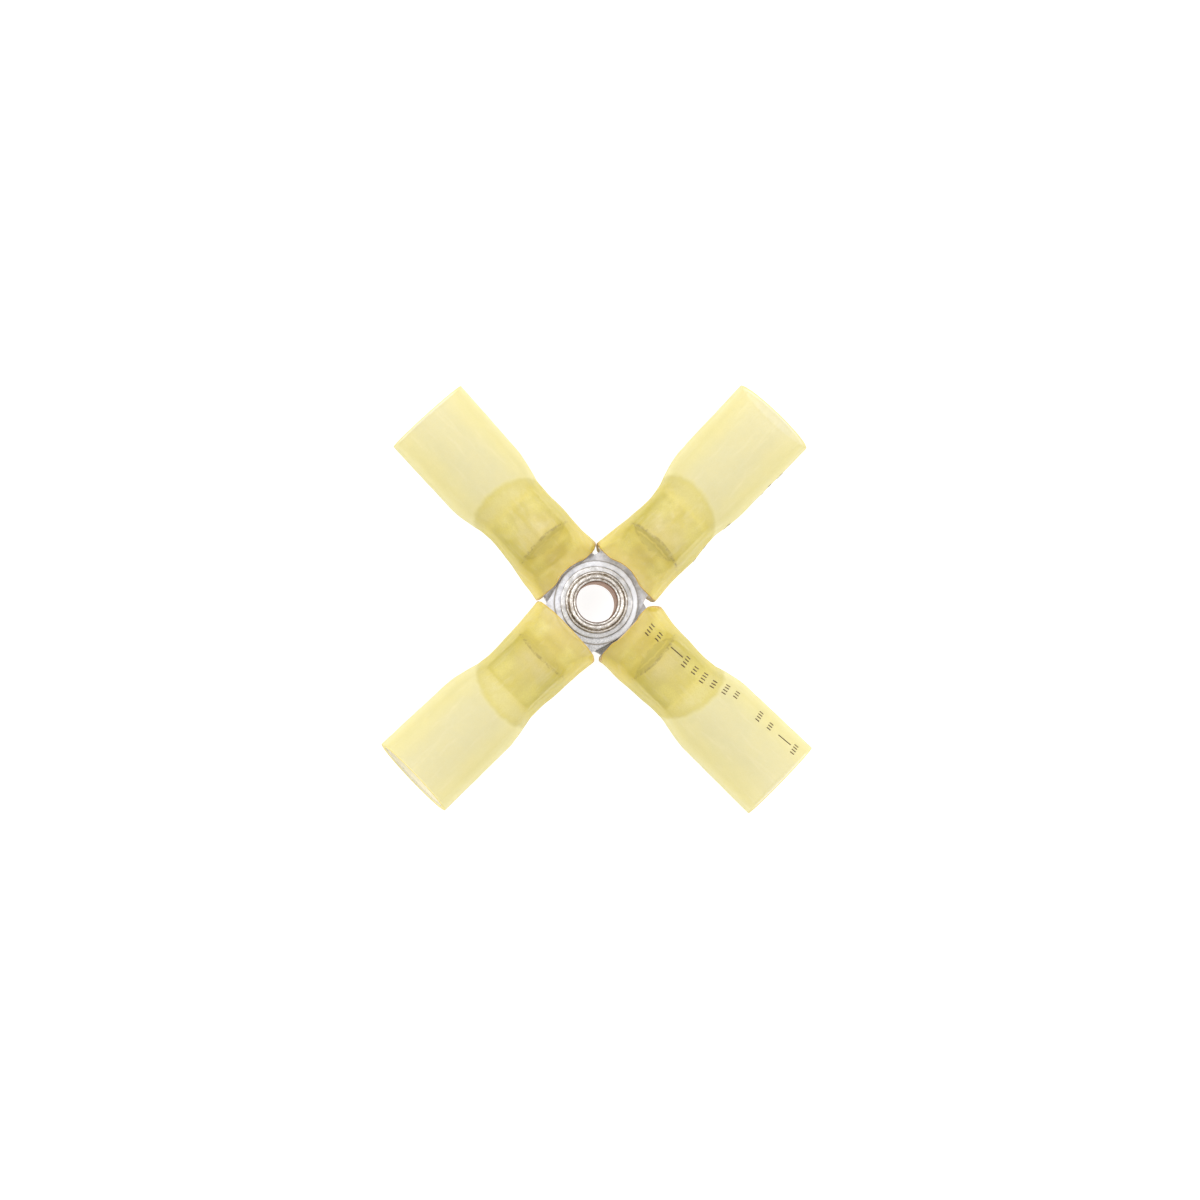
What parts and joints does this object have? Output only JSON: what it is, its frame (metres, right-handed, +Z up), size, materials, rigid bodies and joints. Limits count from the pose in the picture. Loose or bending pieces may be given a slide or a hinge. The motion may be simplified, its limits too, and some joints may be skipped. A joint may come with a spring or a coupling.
{
  "type": "four-way heat-shrink crimp wire connector",
  "caption": "Cross-shaped wire connector: ring terminals stacked on a hollow rivet, each with a crimp barrel under a translucent adhesive-lined heat-shrink sleeve.",
  "frame": {"origin": "on the hollow rivet's axis, at the underside of the lowest ring tongue", "axes": "+Z up along the rivet to its rolled lip; the arms lie along +X, +Y, -X and -Y, each turned by up to 2.4 degrees as found"},
  "size_m": [0.0496, 0.0492, 0.0116],
  "materials": {
    "rivet": "tin plated, rolled, with brown tarnish in the grooves",
    "washer": "tin plated, satin",
    "terminal": "tin plated copper, satin, lightly mottled",
    "braze": "smooth braze bead",
    "adhesive": "clear hot-melt, frosted where unmelted",
    "sleeve": "translucent yellow polyolefin, soft sheen"
  },
  "bodies": {
    "rivet": {"hollow_rivet": "rivet", "rivet_washer": "washer"},
    "arm_north": {"ring_terminal_north": "terminal", "seam_braze_north": "braze", "adhesive_liner_north": "adhesive", "shrink_sleeve_north": "sleeve"},
    "arm_south": {"ring_terminal_south": "terminal", "seam_braze_south": "braze", "adhesive_liner_south": "adhesive", "shrink_sleeve_south": "sleeve"},
    "arm_east": {"ring_terminal_east": "terminal", "seam_braze_east": "braze", "adhesive_liner_east": "adhesive", "shrink_sleeve_east": "sleeve"},
    "arm_west": {"ring_terminal_west": "terminal", "seam_braze_west": "braze", "adhesive_liner_west": "adhesive", "shrink_sleeve_west": "sleeve"}
  },
  "joints": [
    {"name": "swivel_north", "type": "hinge", "parent": "rivet", "child": "arm_north", "pos_m": [0, 0, 0.00045], "axis": [0, 0, 1], "range_deg": [-0.6, 0.9]},
    {"name": "swivel_south", "type": "hinge", "parent": "rivet", "child": "arm_south", "pos_m": [0, 0, 0.00137], "axis": [0, 0, 1], "range_deg": [-3.4, 2.5]},
    {"name": "swivel_east", "type": "hinge", "parent": "rivet", "child": "arm_east", "pos_m": [0, 0, 0.00229], "axis": [0, 0, 1], "range_deg": [-2.5, 0.6]},
    {"name": "swivel_west", "type": "hinge", "parent": "rivet", "child": "arm_west", "pos_m": [0, 0, 0.00321], "axis": [0, 0, 1], "range_deg": [-0.9, 3.4]}
  ]
}
